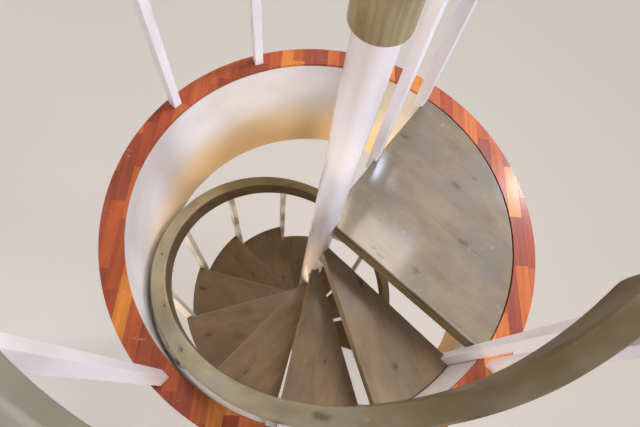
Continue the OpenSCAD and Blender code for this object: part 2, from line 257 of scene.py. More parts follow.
def stained_pine(name, light, dark, cool, heart, worn=None, knots=(), streaky=0.3, bands=0.3, density=0.5,
                 gloss=0.2, flank=None, step=0.14, shaded_top_stretch=False, nosing=None, shaded=None, splits=1.0):
    """Pine under an olive grey stain and satin varnish. Its places are in metres: along the board, across it
    and up from its top.

    knots are (along, across, size) or (along, across, size, depth). worn lightens the front edge. nosing
    gives the front face and underside a darker colour as painted shade, with a thin painted shade line just
    under the top arris. flank gives the sides of a rail a darker colour as painted shade, and on a rail so
    marked the same painted shade also covers the top along the stretch near the rail's upper end. shaded
    gives the levels between which a painted shade darkens the wood downwards, and splits is the size from
    which a knot has cracked.
    """
    material, tree, shader = finish(name, Coat_Weight=gloss, Coat_Roughness=0.12, IOR=1.5,
                                    Specular_IOR_Level=0.2)
    place = put(tree, "Attribute", attribute_name="place").outputs["Vector"]
    board = put(tree, "Attribute", attribute_name="board").outputs["Fac"]
    grain = use(tree, PINE_GRAIN, Place=place, Board=board)
    mottle = fade(tree, grain["Clouds"], 0.34, 0.70)
    colour = blend(tree, mottle, light, dark)
    colour = blend(tree, calc(tree, "MULTIPLY", fade(tree, grain["Stain"], 0.42, 0.62), 0.8), colour, cool)
    streak = calc(tree, "MULTIPLY", fade(tree, grain["Streaks"], 0.45, 0.75), streaky)
    colour = blend(tree, streak, colour, dark)
    colour = blend(tree, calc(tree, "MULTIPLY", fade(tree, grain["Rings"], 0.6, 1.0), bands), colour, dark)
    chance = calc(tree, "FRACT", calc(tree, "MULTIPLY", board, 7.31))
    steps = calc(tree, "MULTIPLY_ADD", chance, step, 1 - step / 2)
    lines = fade(tree, grain["Lines"], 0.3, 0.7, 1.02, 0.98)
    shade = calc(tree, "MULTIPLY", steps, lines)
    colour = put(tree, "VectorMath", {0: colour, "Scale": shade}, operation="SCALE").outputs[0]
    hearts, halos, cracks = grain["Knots"], grain["Halo"], None
    if knots:
        hearts, halos = 0.0, 0.0
    for x, y, size, *deep in knots:
        depth = deep[0] if deep else 0.0
        spot = use(tree, SPOT, Place=place, Centre=(x, y, -depth), Size=size)
        hearts = calc(tree, "MAXIMUM", hearts, spot["Heart"])
        halos = calc(tree, "MAXIMUM", halos, spot["Halo"])
        if size >= splits:
            cracks = calc(tree, "MAXIMUM", cracks, spot["Crack"]) if cracks else spot["Crack"]
    if cracks:
        colour = blend(tree, calc(tree, "MULTIPLY", cracks, 0.35), colour, heart)
    colour = blend(tree, calc(tree, "MULTIPLY", halos, 0.35), colour, dark)
    parts = put(tree, "SeparateXYZ", {0: place}).outputs
    # Painted shade: the front face and underside take the darker nosing colour, and a thin dark line is
    # painted just under the top arris
    if nosing:
        below = fade(tree, parts[2], -0.003, -0.007)
        colour = blend(tree, calc(tree, "MULTIPLY", below, 0.8), colour, nosing)
        arris_shade_line = calc(tree, "MULTIPLY", fade(tree, parts[2], -0.0015, -0.003),
                    fade(tree, parts[2], -0.007, -0.005))
        colour = blend(tree, calc(tree, "MULTIPLY", arris_shade_line, 0.75), colour, heart)
    # Painted shade: a rail's sides take the darker flank colour
    if flank:
        side = fade(tree, calc(tree, "ABSOLUTE", parts[1]), RAIL_WIDTH / 2 - 0.004, RAIL_WIDTH / 2 - 0.001)
        side = calc(tree, "MULTIPLY", side, fade(tree, parts[2], -0.004, -0.012))
        # Painted shade: along the stretch near the stair rail's upper end its top takes the flank colour too
        if shaded_top_stretch:
            top_stretch_shade = calc(tree, "MULTIPLY", fade(tree, parts[0], -0.85, -0.25), fade(tree, parts[0], 0.5, 0.3))
            side = calc(tree, "MAXIMUM", side, calc(tree, "MULTIPLY", top_stretch_shade, 0.95))
        cover = fade(tree, grain["Stain"], 0.40, 0.66, 0.92, 0.66)
        colour = blend(tree, calc(tree, "MULTIPLY", side, cover), colour, flank)
    colour = blend(tree, calc(tree, "MULTIPLY", hearts, 0.6), colour, heart)
    marks = use(tree, SCRATCHES, Place=place, Density=density)["Marks"]
    colour = blend(tree, calc(tree, "MULTIPLY", marks, 0.35), colour, worn or light)
    if worn:
        front = fade(tree, parts[1], 0.008, 0.001)
        top = fade(tree, parts[2], -0.008, -0.002)
        rubbed = calc(tree, "ADD", grain["Clouds"], calc(tree, "MULTIPLY", grain["Streaks"], 0.4))
        rubbed = fade(tree, rubbed, 0.45, 0.8)
        wear = calc(tree, "MULTIPLY", calc(tree, "MULTIPLY", front, top), rubbed)
        colour = blend(tree, calc(tree, "MULTIPLY", wear, 0.45), colour, worn)
    # Painted shade: between the given levels the wood darkens downwards towards LOW_SHADE
    if shaded:
        level = put(tree, "SeparateXYZ", {0: object_place(tree)}).outputs[2]
        colour = blend(tree, fade(tree, level, *shaded), colour, LOW_SHADE, mode="MULTIPLY")
    rough = calc(tree, "MULTIPLY_ADD", grain["Streaks"], 0.05,
                 calc(tree, "MULTIPLY_ADD", grain["Clouds"], 0.14, 0.42))
    feed(tree, shader.inputs, Base_Color=colour, Roughness=rough,
         Normal=relief(tree, grain["Height"], 0.10, 0.0004))
    return material


def object_place(tree):
    return put(tree, "TexCoord").outputs["Object"]


def white_enamel(name, colour, shade, roughness, ripple):
    """Brushed or rolled white paint with faint runs, dulled a little where dust holds."""
    material, tree, shader = finish(name, Coat_Weight=0.4, Coat_Roughness=0.08)
    place = object_place(tree)
    patches = noise(tree, scaled(tree, place, (9, 9, 3)), detail=4, roughness=0.6)
    strokes = noise(tree, scaled(tree, place, (160, 160, 9)), detail=2)
    peel = noise(tree, place, scale=420, detail=1)
    mixed = blend(tree, fade(tree, patches, 0.4, 0.75), colour, shade)
    height = calc(tree, "MULTIPLY_ADD", strokes, 0.7, calc(tree, "MULTIPLY", peel, 0.5))
    rough = calc(tree, "MULTIPLY_ADD", patches, 0.15, roughness)
    feed(tree, shader.inputs, Base_Color=mixed, Roughness=rough, Normal=relief(tree, height, ripple, 0.0005))
    return material


def smooth_plaster(name, colour, shade, warm_light_and_scuffs):
    """Trowelled plaster under matt white paint, with painted warm light inside towards its lower edge."""
    material, tree, shader = finish(name, IOR=1.4)
    place = object_place(tree)
    swell = noise(tree, scaled(tree, place, (5, 5, 8)), detail=3)
    trowel = noise(tree, scaled(tree, place, (18, 18, 40)), detail=4, roughness=0.65)
    grit = noise(tree, place, scale=700, detail=2)
    mixed = blend(tree, fade(tree, swell, 0.35, 0.75), colour, shade)
    level = put(tree, "SeparateXYZ", {0: place}).outputs[2]
    radius = put(tree, "VectorMath", {0: scaled(tree, place, (1, 1, 0))}, operation="LENGTH").outputs["Value"]
    # Painted warm light: the inner face turns warm towards the lower edge, the outer faces only a little; the
    # same colour also tints the scuffs
    inside = fade(tree, radius, WELL_RADIUS + 0.020, WELL_RADIUS + 0.008, 0.15, 0.8)
    low = calc(tree, "MULTIPLY", fade(tree, level, FLOOR - 0.20, FLOOR - 0.46), inside)
    mixed = blend(tree, low, mixed, warm_light_and_scuffs)
    scuffs = fade(tree, noise(tree, scaled(tree, place, (14, 14, 30)), detail=5, roughness=0.7), 0.62, 0.78)
    mixed = blend(tree, calc(tree, "MULTIPLY", scuffs, 0.08), mixed, warm_light_and_scuffs)
    height = calc(tree, "MULTIPLY_ADD", swell, 1.0,
                  calc(tree, "MULTIPLY_ADD", trowel, 0.35, calc(tree, "MULTIPLY", grit, 0.04)))
    rough = calc(tree, "MULTIPLY_ADD", trowel, 0.2, 0.62)
    feed(tree, shader.inputs, Base_Color=mixed, Roughness=rough, Normal=relief(tree, height, 0.3, 0.002))
    return material


def varnished_blocks(name, colours):
    """Hardwood floor blocks under a hard glossy varnish, each block with its own colour."""
    material, tree, shader = finish(name, Coat_Weight=0.2, Coat_Roughness=0.18, Specular_IOR_Level=0.25)
    place = put(tree, "Attribute", attribute_name="place").outputs["Vector"]
    board = put(tree, "Attribute", attribute_name="board").outputs["Fac"]
    grain = use(tree, PINE_GRAIN, Place=place, Board=board)
    ramp = put(tree, "ValToRGB", {0: board})
    ramp.color_ramp.interpolation = "CONSTANT"
    for index, colour in enumerate(colours):
        if index < 2:
            stop = ramp.color_ramp.elements[index]
            stop.position = index / len(colours)
        else:
            stop = ramp.color_ramp.elements.new(index / len(colours))
        stop.color = colour
    shade = calc(tree, "MULTIPLY", fade(tree, grain["Streaks"], 0.3, 0.75, 1.12, 0.78),
                 fade(tree, grain["Clouds"], 0.3, 0.7, 0.9, 1.1))
    colour = put(tree, "VectorMath", {0: ramp.outputs[0], "Scale": shade}, operation="SCALE").outputs[0]
    scratch = fade(tree, noise(tree, scaled(tree, place, (40, 14, 14)), detail=6, roughness=0.75), 0.60, 0.70)
    colour = blend(tree, calc(tree, "MULTIPLY", scratch, 0.4), colour, tone(222, 176, 146))
    rough = calc(tree, "MULTIPLY_ADD", grain["Clouds"], 0.2, 0.35)
    feed(tree, shader.inputs, Base_Color=colour, Roughness=rough,
         Normal=relief(tree, grain["Height"], 0.15, 0.0005))
    return material


def zinc(name):
    """Zinc plated fasteners with dull, slightly mottled faces."""
    material, tree, shader = finish(name, Metallic=1.0)
    mottle = noise(tree, object_place(tree), scale=240, detail=3)
    colour = blend(tree, fade(tree, mottle, 0.35, 0.7), tone(196, 198, 200), tone(150, 152, 156))
    feed(tree, shader.inputs, Base_Color=colour, Roughness=calc(tree, "MULTIPLY_ADD", mottle, 0.25, 0.28))
    return material


LANDING_KNOTS = [(0.257, 0.415, 0.011), (0.400, 0.253, 0.010), (0.338, 0.061, 0.009), (0.217, 0.019, 0.008),
                 (0.186, 0.029, 0.004), (0.292, 0.484, 0.004), (-0.003, 0.447, 0.009)]
TREAD_KNOTS = [(1.200, 0.100, 0.009), (1.518, 0.114, 0.010), (2.405, 0.135, 0.005), (3.526, 0.102, 0.006),
               (4.555, 0.110, 0.008), (5.588, 0.113, 0.013), (6.367, 0.093, 0.007), (7.262, 0.060, 0.006),
               (7.614, 0.103, 0.007), (8.560, 0.230, 0.007), (9.330, 0.120, 0.008), (10.470, 0.060, 0.007),
               (11.300, 0.150, 0.009)]
# shaded darkens the lower treads as painted shade
TREAD_PINE = stained_pine("tread_pine", tone(152, 131, 106), tone(129, 109, 84), tone(137, 124, 106),
                          tone(60, 48, 34), tone(178, 152, 116), streaky=0.05, bands=0.05, knots=TREAD_KNOTS,
                          gloss=0.1, shaded=(2.45, 1.5))
RAIL_KNOTS = [(-1.400, -0.003, 0.005), (-1.154, -0.011, 0.004), (-0.980, 0.003, 0.007),
              (-0.557, -0.004, 0.011), (-2.159, -0.012, 0.004), (-2.290, -0.015, 0.005),
              (-0.134, -0.026, 0.013, 0.032)]
# The darker flank colour, the same colour on the top of the upper stretch, and the darkening below the shaded
# levels are painted shade
RAIL_PINE = stained_pine("rail_pine", tone(174, 162, 132), tone(146, 133, 102), tone(158, 154, 136),
                         tone(46, 42, 40), density=0.35, flank=tone(78, 62, 34), shaded_top_stretch=True, streaky=0.15,
                         bands=0.1, knots=RAIL_KNOTS, gloss=0.1, shaded=(3.0, 2.0))
# Its darker flank colour is painted shade on the rails' sides
GUARD_PINE = stained_pine("guard_pine", tone(151, 143, 126), tone(130, 122, 103), tone(138, 139, 134),
                          tone(76, 74, 70), density=0.35, flank=tone(128, 124, 104), streaky=0.15, bands=0.1)
CAP_PINE = stained_pine("cap_pine", tone(174, 157, 114), tone(136, 112, 68), tone(168, 157, 130),
                        tone(96, 74, 42), streaky=0.6, bands=0.35, step=0, gloss=0.6)
# Its nosing colour is painted shade on the landing's front face and underside
LANDING_PINE = stained_pine("landing_pine", tone(133, 117, 94), tone(115, 100, 80), tone(115, 108, 96),
                            tone(66, 58, 52), tone(172, 158, 138), density=0.7, gloss=0.35, streaky=0.05,
                            bands=0.04, step=0.05, knots=LANDING_KNOTS, splits=0.010,
                            nosing=tone(116, 96, 58))
COLUMN_ENAMEL = white_enamel("column_enamel", tone(246, 243, 245), tone(238, 233, 233), 0.14, 0.08)
BRACKET_ENAMEL = white_enamel("bracket_enamel", tone(228, 222, 214), tone(212, 202, 190), 0.28, 0.2)
POST_PAINT = white_enamel("post_paint", tone(241, 239, 243), tone(233, 229, 230), 0.28, 0.2)
# Its third colour is painted warm light towards the lower edge and also the colour of its scuffs
WELL_PLASTER = smooth_plaster("well_plaster", tone(227, 224, 224), tone(218, 213, 210), tone(252, 217, 162))
FLOOR_BLOCKS = varnished_blocks("floor_blocks", [tone(112, 54, 38), tone(134, 60, 36), tone(152, 68, 38),
                                                 tone(140, 66, 44), tone(166, 80, 42), tone(184, 96, 46),
                                                 tone(172, 88, 48), tone(204, 124, 52), tone(190, 104, 48),
                                                 tone(216, 140, 60)])
FASTENER_ZINC = zinc("fastener_zinc")


# Modelling helpers

def release():
    if bpy.context.mode != "OBJECT":
        bpy.ops.object.mode_set(mode="OBJECT")
    bpy.ops.object.select_all(action="DESELECT")


def take(piece):
    release()
    piece.select_set(True)
    bpy.context.view_layer.objects.active = piece


def open_up(piece):
    take(piece)
    bpy.ops.object.mode_set(mode="EDIT")
    bpy.ops.mesh.select_all(action="DESELECT")


def pick(piece, kind, test):
    """Selects the open piece's faces, edges or vertices that pass a test, and nothing else."""
    bpy.ops.mesh.select_mode(type={"faces": "FACE", "edges": "EDGE", "verts": "VERT"}[kind])
    bpy.ops.mesh.select_all(action="DESELECT")
    mesh = bmesh.from_edit_mesh(piece.data)
    mesh.normal_update()
    for part in getattr(mesh, kind):
        if test(part):
            part.select_set(True)
    mesh.select_flush_mode()
    bmesh.update_edit_mesh(piece.data)


def close_up(piece, name=None):
    bpy.ops.object.mode_set(mode="OBJECT")
    if name:
        piece.name = piece.data.name = name
    return piece


def settle(piece):
    """Puts the piece's place, turn and scale into its mesh."""
    take(piece)
    bpy.ops.object.transform_apply(location=True, rotation=True, scale=True)


def modify(piece, kind, **settings):
    take(piece)
    modifier = piece.modifiers.new(kind.lower(), kind)
    for name, value in settings.items():
        setattr(modifier, name, value)
    bpy.ops.object.modifier_apply(modifier=modifier.name)


def smooth(piece, angle=35):
    take(piece)
    bpy.ops.object.shade_smooth_by_angle(angle=radians(angle))


def turned(piece, turn, lift=0.0):
    piece.data.transform(Matrix.Translation((0, 0, lift)) @ Matrix.Rotation(radians(turn), 4, "Z"))


def twin(piece, name):
    copy = bpy.data.objects.new(name, piece.data.copy())
    copy.data.name = name
    bpy.context.collection.objects.link(copy)
    return copy


def joined(pieces, name):
    release()
    for piece in pieces:
        piece.select_set(True)
    bpy.context.view_layer.objects.active = pieces[0]
    if len(pieces) > 1:
        bpy.ops.object.join()
    pieces[0].name = pieces[0].data.name = name
    return pieces[0]


def from_node(node, name):
    """A clean copy of a CAD node's shape, with its loose triangles merged into whole faces."""
    piece = bpy.data.objects.new(name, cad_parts[node].data.copy())
    bpy.context.collection.objects.link(piece)
    piece.data.materials.clear()
    take(piece)
    if piece.data.has_custom_normals:
        bpy.ops.mesh.customdata_custom_splitnormals_clear()
    open_up(piece)
    bpy.ops.mesh.select_all(action="SELECT")
    bpy.ops.mesh.remove_doubles(threshold=0.00002)
    bpy.ops.mesh.dissolve_limited(angle_limit=radians(0.6))
    return close_up(piece)


def eased(piece, width, segments=2, angle=32):
    modify(piece, "BEVEL", width=width, segments=segments, limit_method="ANGLE", angle_limit=radians(angle),
           harden_normals=False, use_clamp_overlap=True)
    smooth(piece, 40)


def mark(piece, place, board):
    """Writes each point's place in its board, and the board's own number, for the wood to read."""
    mesh = piece.data
    mesh.attributes.new("place", "FLOAT_VECTOR", "POINT")
    mesh.attributes.new("board", "FLOAT", "POINT")
    places = [value for vertex in mesh.vertices for value in place(vertex.co.copy())]
    mesh.attributes["place"].data.foreach_set("vector", places)
    mesh.attributes["board"].data.foreach_set("value", [board] * len(mesh.vertices))


def paint(piece, material):
    piece.data.materials.clear()
    piece.data.materials.append(material)


def install(piece, material, slot, *nodes):
    paint(piece, material)
    modify(piece, "WEIGHTED_NORMAL", mode="FACE_AREA", weight=100, keep_sharp=True)
    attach(piece, "root")
    if nodes:
        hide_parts(*nodes)


# Treads and landing, glued from boards that run along the front edge
BOARD_SEED = random.Random(11)
TREAD_JOINTS = [0.104, 0.209]
LANDING_JOINTS = [0.117, 0.236, 0.352, 0.470, 0.583]
JOINT_EASE = 0.0002
TREAD_EASE = 0.0016
LANDING_EASE = 0.0014


def cut_between(across, low, high):
    """Keeps of the open piece what lies between two planes square to a direction. A None cuts nothing."""
    for level, is_low in ((low, True), (high, False)):
        if level is not None:
            bpy.ops.mesh.select_all(action="SELECT")
            bpy.ops.mesh.bisect(plane_co=across * level, plane_no=across, use_fill=True,
                                clear_inner=is_low, clear_outer=not is_low)


def board_between(whole, low, high, name):
    """The strip of a glued panel from one joint to the next, its joint arrises just broken."""
    board = twin(whole, name)
    open_up(board)
    cut_between(Vector((0, 1, 0)), low, high)
    cuts = [level for level in (low, high) if level is not None]
    pick(board, "faces", lambda f: abs(f.normal.y) > 0.999
         and any(abs(f.calc_center_median().y - level) < 1e-5 for level in cuts))
    bpy.ops.mesh.bevel(offset=JOINT_EASE, segments=1, affect="EDGES")
    return close_up(board)


def glued_panel(whole, joints, name, number=0):
    """Boards of one panel that lies in its own frame: x along the front edge, y behind it, z from its top.

    Each panel is given wood of its own, one metre further along.
    """
    levels = [None] + joints + [None]
    boards = []
    for index in range(len(levels) - 1):
        board = board_between(whole, levels[index], levels[index + 1], name + "_board")
        mark(board, lambda co: co + Vector((number, 0, 0)), BOARD_SEED.random())
        boards.append(board)
    bpy.data.objects.remove(whole)
    panel = joined(boards, name)
    smooth(panel, 40)
    return panel


def make_treads():
    whole = from_node("tread_01", "tread_blank")
    whole.data.transform(Matrix.Rotation(radians(PITCH), 4, "Z") @ Matrix.Translation((0, 0, RISER - FLOOR)))
    eased(whole, TREAD_EASE)
    for k in range(1, TREADS + 1):
        name = "tread_%02d" % k
        last = k == TREADS
        panel = glued_panel(whole if last else twin(whole, "blank"), TREAD_JOINTS, "tread_boards_%02d" % k, k)
        turned(panel, -PITCH * k, FLOOR - RISER * k)
        install(panel, TREAD_PINE, "stained_wood", name)


def make_landing():
    whole = from_node("landing", "landing_blank")
    whole.data.transform(Matrix.Translation((0, 0, -FLOOR)))
    eased(whole, LANDING_EASE)
    panel = glued_panel(whole, LANDING_JOINTS, "landing_boards")
    turned(panel, 0, FLOOR)
    install(panel, LANDING_PINE, "stained_wood", "landing")


# Handrails
NOSE_STEPS = 6
NOSE_TIP = 0.12
END_WINDOW = 0.2
STEPS_PER_DEGREE = 0.6
STAIR_RAIL_BOARD = 0.31
GALLERY_RAIL_BOARD = 0.57
LANDING_RAIL_BOARD = 0.83


def ease(share):
    """The share of a move, from 0 to 1, with a soft start and end."""
    share = min(1, max(0, share))
    return share * share * (3 - 2 * share)


def rail_top(turn):
    rise = RAIL_RISE_TOP - (RAIL_RISE_FOOT - RAIL_RISE_TOP) * turn / (PITCH * TREADS)
    return FLOOR + RISER * turn / PITCH + rise


def rail_outline(name, height, radius, top, turn):
    """The handrail's section, upright at one turn, its upper edges rounded more than its lower ones."""
    release()
    bpy.ops.mesh.primitive_plane_add(size=1, rotation=(pi / 2, 0, 0),
                                     location=(radius, 0, top - height / 2))
    outline = bpy.context.object
    outline.scale = (RAIL_WIDTH, height, 1)
    settle(outline)
    open_up(outline)
    middle = top - height / 2
    pick(outline, "verts", lambda v: v.co.z > middle)
    bpy.ops.mesh.bevel(offset=RAIL_ROUNDING, segments=4, affect="VERTICES")
    pick(outline, "verts", lambda v: v.co.z < top - height + 0.0001)
    bpy.ops.mesh.bevel(offset=RAIL_LOWER_ROUNDING, segments=3, affect="VERTICES")
    bpy.ops.mesh.select_mode(type="FACE")
    bpy.ops.mesh.select_all(action="SELECT")
    bpy.ops.mesh.delete(type="ONLY_FACE")
    close_up(outline, name)
    turned(outline, turn)
    return outline


def unwound(co, nearest):
    """A point's turn about the column, taken on the winding next to a given turn."""
    turn = degrees(atan2(co.y, co.x))
    return turn + 360 * round((nearest - turn) / 360)


def at_turn(co, turn):
    return abs(unwound(co, turn) - turn) < END_WINDOW


def round_nose(rail, height, turn, radius, top, forward):
    """Draws the open end out into a rounded nose of half the rail's width."""
    reach = degrees(asin(RAIL_WIDTH / 2 / radius))
    last = 0.0
    for step in range(1, NOSE_STEPS + 1):
        angle = radians(90 * step / NOSE_STEPS)
        here = turn + forward * reach * sin(angle)
        before = turn + forward * reach * sin(last)
        shrink = max(NOSE_TIP, cos(angle)) / max(NOSE_TIP, cos(last))
        bpy.ops.mesh.extrude_region_move()
        mesh = bmesh.from_edit_mesh(rail.data)
        swing = Matrix.Rotation(radians(here - before), 4, "Z")
        for vertex in mesh.verts:
            if vertex.select:
                vertex.co = swing @ vertex.co
                vertex.co.z += top(here) - top(before)
        middle = Vector((radius * cos(radians(here)), radius * sin(radians(here)), top(here) - height / 2))
        for vertex in mesh.verts:
            if vertex.select:
                vertex.co = middle + (vertex.co - middle) * shrink
        bmesh.update_edit_mesh(rail.data)
        last = angle


def swept_rail(name, height, radius, top, start, end, first, last, board):
    """One length of handrail swept about the column, its ends flat or drawn out into noses."""
    reach = degrees(asin(RAIL_WIDTH / 2 / radius))
    near = start + reach if first else start
    far = end - reach if last else end
    steps = int((far - near) * STEPS_PER_DEGREE)
    rail = rail_outline(name, height, radius, top(near), near)
    modify(rail, "SCREW", angle=radians(far - near), screw_offset=top(far) - top(near), steps=steps,
           render_steps=steps, use_merge_vertices=False, use_smooth_shade=True)
    open_up(rail)
    for turn, nose, forward in ((near, first, -1), (far, last, 1)):
        pick(rail, "edges", lambda e: e.is_boundary and all(at_turn(v.co, turn) for v in e.verts))
        bpy.ops.mesh.edge_face_add()
        if nose:
            pick(rail, "faces", lambda f: len(f.verts) > 8 and at_turn(f.calc_center_median(), turn))
            round_nose(rail, height, turn, radius, top, forward)
    bpy.ops.mesh.select_all(action="SELECT")
    bpy.ops.mesh.normals_make_consistent(inside=False)
    close_up(rail)
    smooth(rail, 40)
    middle = (start + end) / 2
    mark(rail, lambda co: (radians(unwound(co, middle)) * radius, hypot(co.x, co.y) - radius,
                           co.z - top(unwound(co, middle))), board)
    return rail


def make_stair_rail():
    start = -PITCH * TREADS - RAIL_OVERRUN
    step = (RAIL_OVERRUN - start) / STAIR_RAIL_LENGTHS
    for i in range(STAIR_RAIL_LENGTHS):
        rail = swept_rail("stair_handrail_%d" % (i + 1), STAIR_RAIL_HEIGHT, RAIL_RADIUS, rail_top,
                          start + step * i, start + step * (i + 1), i == 0, i == STAIR_RAIL_LENGTHS - 1,
                          STAIR_RAIL_BOARD)
        middle = start + step * (i + 0.5)
        for vertex in rail.data.vertices:
            turn = unwound(vertex.co, middle)
            out = RAIL_SWING * ease((turn - SWING_FROM) / (SWING_TO - SWING_FROM))
            flat = hypot(vertex.co.x, vertex.co.y)
            vertex.co.x *= 1 + out / flat
            vertex.co.y *= 1 + out / flat
        install(rail, RAIL_PINE, "stained_wood", "stair_rail_%d" % (i + 1))


def make_gallery_rail():
    step = (GALLERY_TO - GALLERY_FROM) / GALLERY_RAIL_LENGTHS
    for i in range(GALLERY_RAIL_LENGTHS):
        rail = swept_rail("gallery_handrail_%d" % (i + 1), RAIL_HEIGHT, GALLERY_RADIUS,
                          lambda turn: GALLERY_TOP, GALLERY_FROM + step * i, GALLERY_FROM + step * (i + 1),
                          i == 0, i == GALLERY_RAIL_LENGTHS - 1, GALLERY_RAIL_BOARD)
        install(rail, GUARD_PINE, "stained_wood", "gallery_rail_%d" % (i + 1))


def make_landing_rail():
    rail = from_node("landing_rail", "landing_handrail")
    eased(rail, 0.0008, 1, 50)
    smooth(rail, 40)
    out = Vector((cos(radians(LANDING_SPAN)), sin(radians(LANDING_SPAN)), 0))
    side = Vector((-out.y, out.x, 0))
    mark(rail, lambda co: (co.dot(out), co.dot(side), co.z - GALLERY_TOP), LANDING_RAIL_BOARD)
    install(rail, GUARD_PINE, "stained_wood", "landing_rail")


# Column, cap, base and posts
CAP_BOARD = 0.43
POST_EASE = 0.0025


def make_column():
    top = CAP_UNDERSIDE + CAP_HEIGHT - CAP_CROWN
    release()
    bpy.ops.mesh.primitive_cylinder_add(vertices=96, radius=COLUMN_RADIUS, depth=top - PLATE_THICKNESS,
                                        location=(0, 0, (top + PLATE_THICKNESS) / 2))
    tube = bpy.context.object
    settle(tube)
    open_up(tube)
    pick(tube, "faces", lambda f: abs(f.normal.z) > 0.9)
    bpy.ops.mesh.inset(thickness=0.004)
    bpy.ops.mesh.bevel(offset=0.0004, segments=1, affect="EDGES")
    close_up(tube, "column_tube")
    smooth(tube)
    install(tube, COLUMN_ENAMEL, "white_steel", "column")


def make_cap():
    release()
    bpy.ops.mesh.primitive_cylinder_add(vertices=96, radius=CAP_RADIUS, depth=CAP_HEIGHT,
                                        location=(0, 0, CAP_UNDERSIDE + CAP_HEIGHT / 2))
    cap = bpy.context.object
    settle(cap)
    open_up(cap)
    pick(cap, "edges", lambda e: all(abs(hypot(v.co.x, v.co.y) - CAP_RADIUS) < 1e-4 for v in e.verts)
         and abs(e.verts[0].co.z - e.verts[1].co.z) < 1e-5)
    bpy.ops.mesh.bevel(offset=CAP_ROUNDING, segments=4, affect="EDGES")
    pick(cap, "faces", lambda f: f.normal.z < -0.99)
    bpy.ops.mesh.inset(thickness=CAP_RADIUS - CAP_ROUNDING - COLUMN_RADIUS - SEAT)
    bpy.ops.mesh.extrude_region_move(TRANSFORM_OT_translate={"value": (0, 0, CAP_HEIGHT - CAP_CROWN + SEAT)})
    bpy.ops.mesh.select_all(action="SELECT")
    bpy.ops.mesh.normals_make_consistent(inside=False)
    close_up(cap, "turned_cap")
    smooth(cap)
    mark(cap, lambda co: (co.z - FLOOR, co.x, co.y), CAP_BOARD)
    install(cap, CAP_PINE, "stained_wood", "column_cap")


def make_steelwork():
    for node, name, width in (("base_plate", "foot_plate", 0.0012),
                              ("tread_brackets", "bracket_arms", 0.0008),
                              ("landing_bearers", "landing_arms", 0.0008),
                              ("landing_ledger", "wall_angle", 0.0008)):
        steel = from_node(node, name)
        eased(steel, width)
        install(steel, BRACKET_ENAMEL, "white_steel", node)


def make_posts():
    for node, name in (("landing_posts", "landing_guard_posts"), ("gallery_posts", "gallery_guard_posts"),
                       ("stair_posts", "stair_balusters")):
        posts = from_node(node, name)
        eased(posts, POST_EASE, 3)
        install(posts, POST_PAINT, "white_paint", node)


# The well and the floor's edge
WELL_LOWER_ROUNDING = 0.006
WELL_UPPER_ROUNDING = 0.002
BLOCK_WIDTH = 0.045
BLOCK_LENGTH = 0.22
BLOCK_TURN = 128
BLOCK_SHIFT = -0.011
# The side towards which the floor blocks are painted lighter as painted light, and how much
PAINTED_LIGHT_SIDE = Vector((0.75, 0.66, 0))
PAINTED_LIGHT_SHARE = 0.38


def make_well():
    release()
    low, high = FLOOR - WELL_DEPTH, FLOOR - RIM_THICKNESS
    bpy.ops.mesh.primitive_plane_add(size=1, rotation=(pi / 2, 0, 0),
                                     location=(WELL_RADIUS + LINING / 2, 0, (low + high) / 2))
    lining = bpy.context.object
    lining.scale = (LINING, high - low, 1)
    settle(lining)
    open_up(lining)
    pick(lining, "verts", lambda v: v.co.z < low + 0.001)
    bpy.ops.mesh.bevel(offset=WELL_LOWER_ROUNDING, segments=3, affect="VERTICES")
    pick(lining, "verts", lambda v: v.co.z > high - 0.001)
    bpy.ops.mesh.bevel(offset=WELL_UPPER_ROUNDING, segments=2, affect="VERTICES")
    bpy.ops.mesh.select_mode(type="FACE")
    bpy.ops.mesh.select_all(action="SELECT")
    bpy.ops.mesh.delete(type="ONLY_FACE")
    close_up(lining, "well_lining")
    modify(lining, "SCREW", angle=2 * pi, screw_offset=0, steps=180, render_steps=180,
           use_merge_vertices=True, merge_threshold=0.00001, use_smooth_shade=True)
    open_up(lining)
    bpy.ops.mesh.select_all(action="SELECT")
    bpy.ops.mesh.remove_doubles(threshold=0.00001)
    bpy.ops.mesh.normals_make_consistent(inside=False)
    close_up(lining)
    smooth(lining)
    install(lining, WELL_PLASTER, "white_plaster", *["well_ring_%d" % i for i in range(1, WELL_RINGS + 1)])


